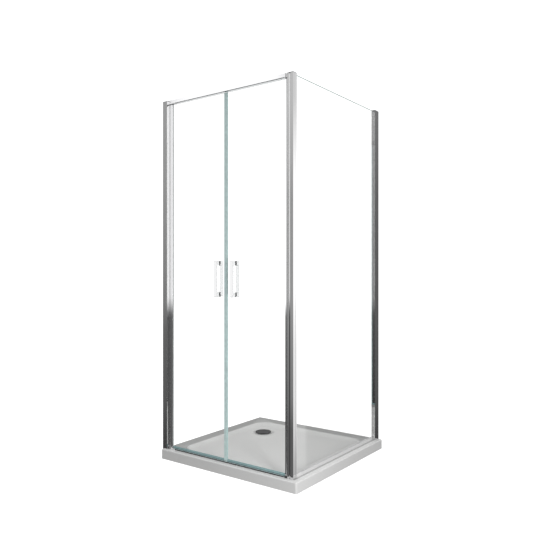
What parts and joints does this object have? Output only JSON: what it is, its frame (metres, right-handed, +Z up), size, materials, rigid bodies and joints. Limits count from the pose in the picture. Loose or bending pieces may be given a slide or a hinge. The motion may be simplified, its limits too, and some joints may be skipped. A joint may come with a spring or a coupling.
{
  "type": "corner shower enclosure",
  "caption": "Corner shower enclosure with paired glass pivot doors that swing both ways, chrome frame, fixed side panel and low white tray",
  "frame": {"origin": "bottom centre of the tray", "axes": "Z up; the doors are on the -Y side; the fixed side panel is on the +X side; the house walls stand at the -X and +Y edges"},
  "size_m": [0.9, 0.9, 1.98],
  "materials": {
    "white_acrylic": "gloss",
    "polished_aluminium": "polished",
    "chrome": "polished",
    "dark_chrome": "polished",
    "steel": "satin",
    "clear_glass": "gloss",
    "soft_seal": "satin",
    "magnet_strip": "matte",
    "grey_plastic": "satin",
    "nylon": "satin",
    "black_plastic": "satin",
    "plastic_cup": "satin",
    "rubber": "matte"
  },
  "bodies": {
    "enclosure": {"tray": "white_acrylic", "waste_body": "dark_chrome", "waste_gaskets": "rubber", "waste_nut": "black_plastic", "wall_profile_door": "polished_aluminium", "jamb_left": "polished_aluminium", "jamb_right": "polished_aluminium", "corner_post": "polished_aluminium", "header": "polished_aluminium", "threshold": "polished_aluminium", "top_block_left": "chrome", "top_block_right": "chrome", "bottom_block_left": "chrome", "bottom_block_right": "chrome", "pivot_bushes": "nylon", "jamb_screws": "steel", "header_screws": "steel", "wall_cap_door": "grey_plastic", "jamb_cap": "grey_plastic", "corner_cap": "grey_plastic", "side_glass": "clear_glass", "side_glass_gaskets": "rubber", "side_bottom_rail": "polished_aluminium", "side_profile": "polished_aluminium", "wall_profile_side": "polished_aluminium", "side_profile_screws": "steel", "side_cap": "grey_plastic", "wall_cap_side": "grey_plastic"},
    "left_door": {"left_glass": "clear_glass", "left_pivot_profile": "polished_aluminium", "left_profile_caps": "grey_plastic", "left_pivot_pins": "steel", "left_glass_gasket": "rubber", "left_bottom_seal": "soft_seal", "left_magnet_seal": "soft_seal", "left_magnet": "magnet_strip", "left_handle_outer": "chrome", "left_handle_inner": "chrome", "left_handle_washers": "black_plastic", "left_handle_studs": "steel"},
    "right_door": {"right_glass": "clear_glass", "right_pivot_profile": "polished_aluminium", "right_profile_caps": "grey_plastic", "right_pivot_pins": "steel", "right_glass_gasket": "rubber", "right_bottom_seal": "soft_seal", "right_magnet_seal": "soft_seal", "right_magnet": "magnet_strip", "right_handle_outer": "chrome", "right_handle_inner": "chrome", "right_handle_washers": "black_plastic", "right_handle_studs": "steel"},
    "waste_strainer": {"waste_cup": "plastic_cup", "waste_cover": "dark_chrome"}
  },
  "joints": [
    {"name": "left_door_hinge", "type": "hinge", "parent": "enclosure", "child": "left_door", "pos_m": [-0.411, -0.4075, 1], "axis": [0, 0, 1], "range_deg": [-90, 90]},
    {"name": "right_door_hinge", "type": "hinge", "parent": "enclosure", "child": "right_door", "pos_m": [0.3735, -0.4075, 1], "axis": [0, 0, 1], "range_deg": [-85, 90]},
    {"name": "strainer_lift", "type": "slide", "parent": "enclosure", "child": "waste_strainer", "axis": [0, 0, 1], "range_m": [0, 0.05]}
  ]
}
